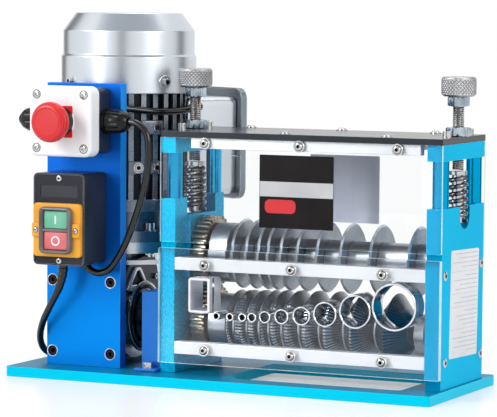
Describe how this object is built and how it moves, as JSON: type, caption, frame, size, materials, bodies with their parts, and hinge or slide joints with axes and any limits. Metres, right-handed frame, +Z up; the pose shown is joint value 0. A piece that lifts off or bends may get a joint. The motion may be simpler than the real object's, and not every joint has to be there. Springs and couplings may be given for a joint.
{
  "type": "wire stripping machine",
  "caption": "Bench machine that feeds wire through guide tubes between grooved rollers and disc blades, driven by a motor and worm gearbox.",
  "frame": {"origin": "under the middle of the machine without its mains lead, on the plane of the base underside", "axes": "+X to the right along the rollers, +Y from the guides at the front to the outlet at the back, +Z up"},
  "size_m": [0.494, 0.3873, 0.3668],
  "materials": {
    "cyan_anodised": "satin anodised cyan",
    "blue_coat": "satin deep blue",
    "black_anodised": "satin black",
    "bare_aluminium": "fine milled",
    "cast_aluminium": "fine cast",
    "dark_casting": "dark painted casting",
    "ground_steel": "ground and polished",
    "bright_steel": "bright plated",
    "gear_steel": "hobbed, oiled",
    "clear_sheet": "clear sheet",
    "black_plastic": "satin",
    "black_rubber": "smooth",
    "white_plastic": "satin",
    "red_plastic": "smooth",
    "yellow_plastic": "satin",
    "green_plastic": "smooth",
    "pale_red_plastic": "smooth"
  },
  "bodies": {
    "stand": {"base_plate": "cyan_anodised", "left_column": "cyan_anodised", "right_column": "cyan_anodised", "motor_column": "blue_coat", "coupling_guard": "blue_coat", "top_plate": "black_anodised", "top_front_bar": "bare_aluminium", "top_rear_bar": "bare_aluminium", "middle_front_bar": "bare_aluminium", "middle_rear_bar": "bare_aluminium", "bottom_front_bar": "bare_aluminium", "bottom_rear_bar": "bare_aluminium", "gearbox_housing": "cast_aluminium", "motor_fan_cover": "cast_aluminium", "terminal_box": "cast_aluminium", "terminal_box_lid": "cast_aluminium", "motor_body": "dark_casting", "left_plate_nut": "bright_steel", "right_plate_nut": "bright_steel", "flat_cable_guide": "bright_steel", "guide_tube_1": "bright_steel", "guide_tube_2": "bright_steel", "guide_tube_3": "bright_steel", "guide_tube_4": "bright_steel", "guide_tube_5": "bright_steel", "guide_tube_6": "bright_steel", "guide_tube_7": "bright_steel", "guide_tube_8": "bright_steel", "guide_tube_9": "bright_steel", "guide_tube_10": "bright_steel", "upper_front_window": "clear_sheet", "lower_front_window": "clear_sheet", "upper_rear_window": "clear_sheet", "stop_box_base": "black_plastic", "switch_box": "black_plastic", "left_gland": "black_rubber", "right_gland": "black_rubber", "mains_lead": "black_rubber", "mains_coil": "black_rubber", "mains_plug": "black_rubber", "link_lead": "black_rubber", "motor_lead": "black_rubber", "stop_box_cover": "white_plastic", "switch_frame": "yellow_plastic"},
    "feed_shaft": {"lower_shaft": "ground_steel", "feed_rollers": "ground_steel", "lower_gear": "gear_steel"},
    "carriage": {"left_bearing_block": "cyan_anodised", "right_bearing_block": "cyan_anodised", "left_spring": "gear_steel", "right_spring": "gear_steel"},
    "blade_shaft": {"upper_shaft": "ground_steel", "blade_stack": "ground_steel", "upper_gear": "gear_steel"},
    "left_screw": {"left_adjusting_screw": "bright_steel"},
    "right_screw": {"right_adjusting_screw": "bright_steel"},
    "fan": {"motor_fan": "black_plastic"},
    "stop": {"stop_button": "red_plastic"},
    "start": {"start_button": "green_plastic"},
    "off": {"off_button": "pale_red_plastic"}
  },
  "joints": [
    {"name": "lower_shaft_spin", "type": "hinge", "parent": "stand", "child": "feed_shaft", "pos_m": [0.068, -0.01708, 0.0575], "axis": [-1, 0, 0], "continuous": true},
    {"name": "carriage_lift", "type": "slide", "parent": "stand", "child": "carriage", "axis": [0, 0, 1], "range_m": [0, 0.004]},
    {"name": "upper_shaft_spin", "type": "hinge", "parent": "carriage", "child": "blade_shaft", "pos_m": [0.068, -0.01708, 0.1275], "axis": [-1, 0, 0], "continuous": true},
    {"name": "left_knob_turn", "type": "hinge", "parent": "carriage", "child": "left_screw", "pos_m": [-0.067, -0.01708, 0.3], "axis": [0, 0, 1], "range_deg": [0, 823]},
    {"name": "right_knob_turn", "type": "hinge", "parent": "carriage", "child": "right_screw", "pos_m": [0.217, -0.01708, 0.3], "axis": [0, 0, 1], "range_deg": [0, 823]},
    {"name": "motor_fan_spin", "type": "hinge", "parent": "stand", "child": "fan", "pos_m": [-0.164, 0.02292, 0.32], "axis": [0, 0, 1], "continuous": true},
    {"name": "stop_push", "type": "slide", "parent": "stand", "child": "stop", "axis": [0, 1, 0], "range_m": [0, 0.004], "stiffness_N_per_m": 900, "springref_m": -0.002},
    {"name": "start_push", "type": "slide", "parent": "stand", "child": "start", "axis": [0, 1, 0], "range_m": [0, 0.003], "stiffness_N_per_m": 600, "springref_m": -0.001},
    {"name": "off_push", "type": "slide", "parent": "stand", "child": "off", "axis": [0, 1, 0], "range_m": [0, 0.003], "stiffness_N_per_m": 600, "springref_m": -0.001}
  ],
  "couplings": [
    {"joint": "upper_shaft_spin", "follows": "lower_shaft_spin", "ratio": -1},
    {"joint": "motor_fan_spin", "follows": "lower_shaft_spin", "ratio": 20},
    {"joint": "left_knob_turn", "follows": "carriage_lift", "rad_per_m": 3590.4},
    {"joint": "right_knob_turn", "follows": "carriage_lift", "rad_per_m": 3590.4}
  ]
}
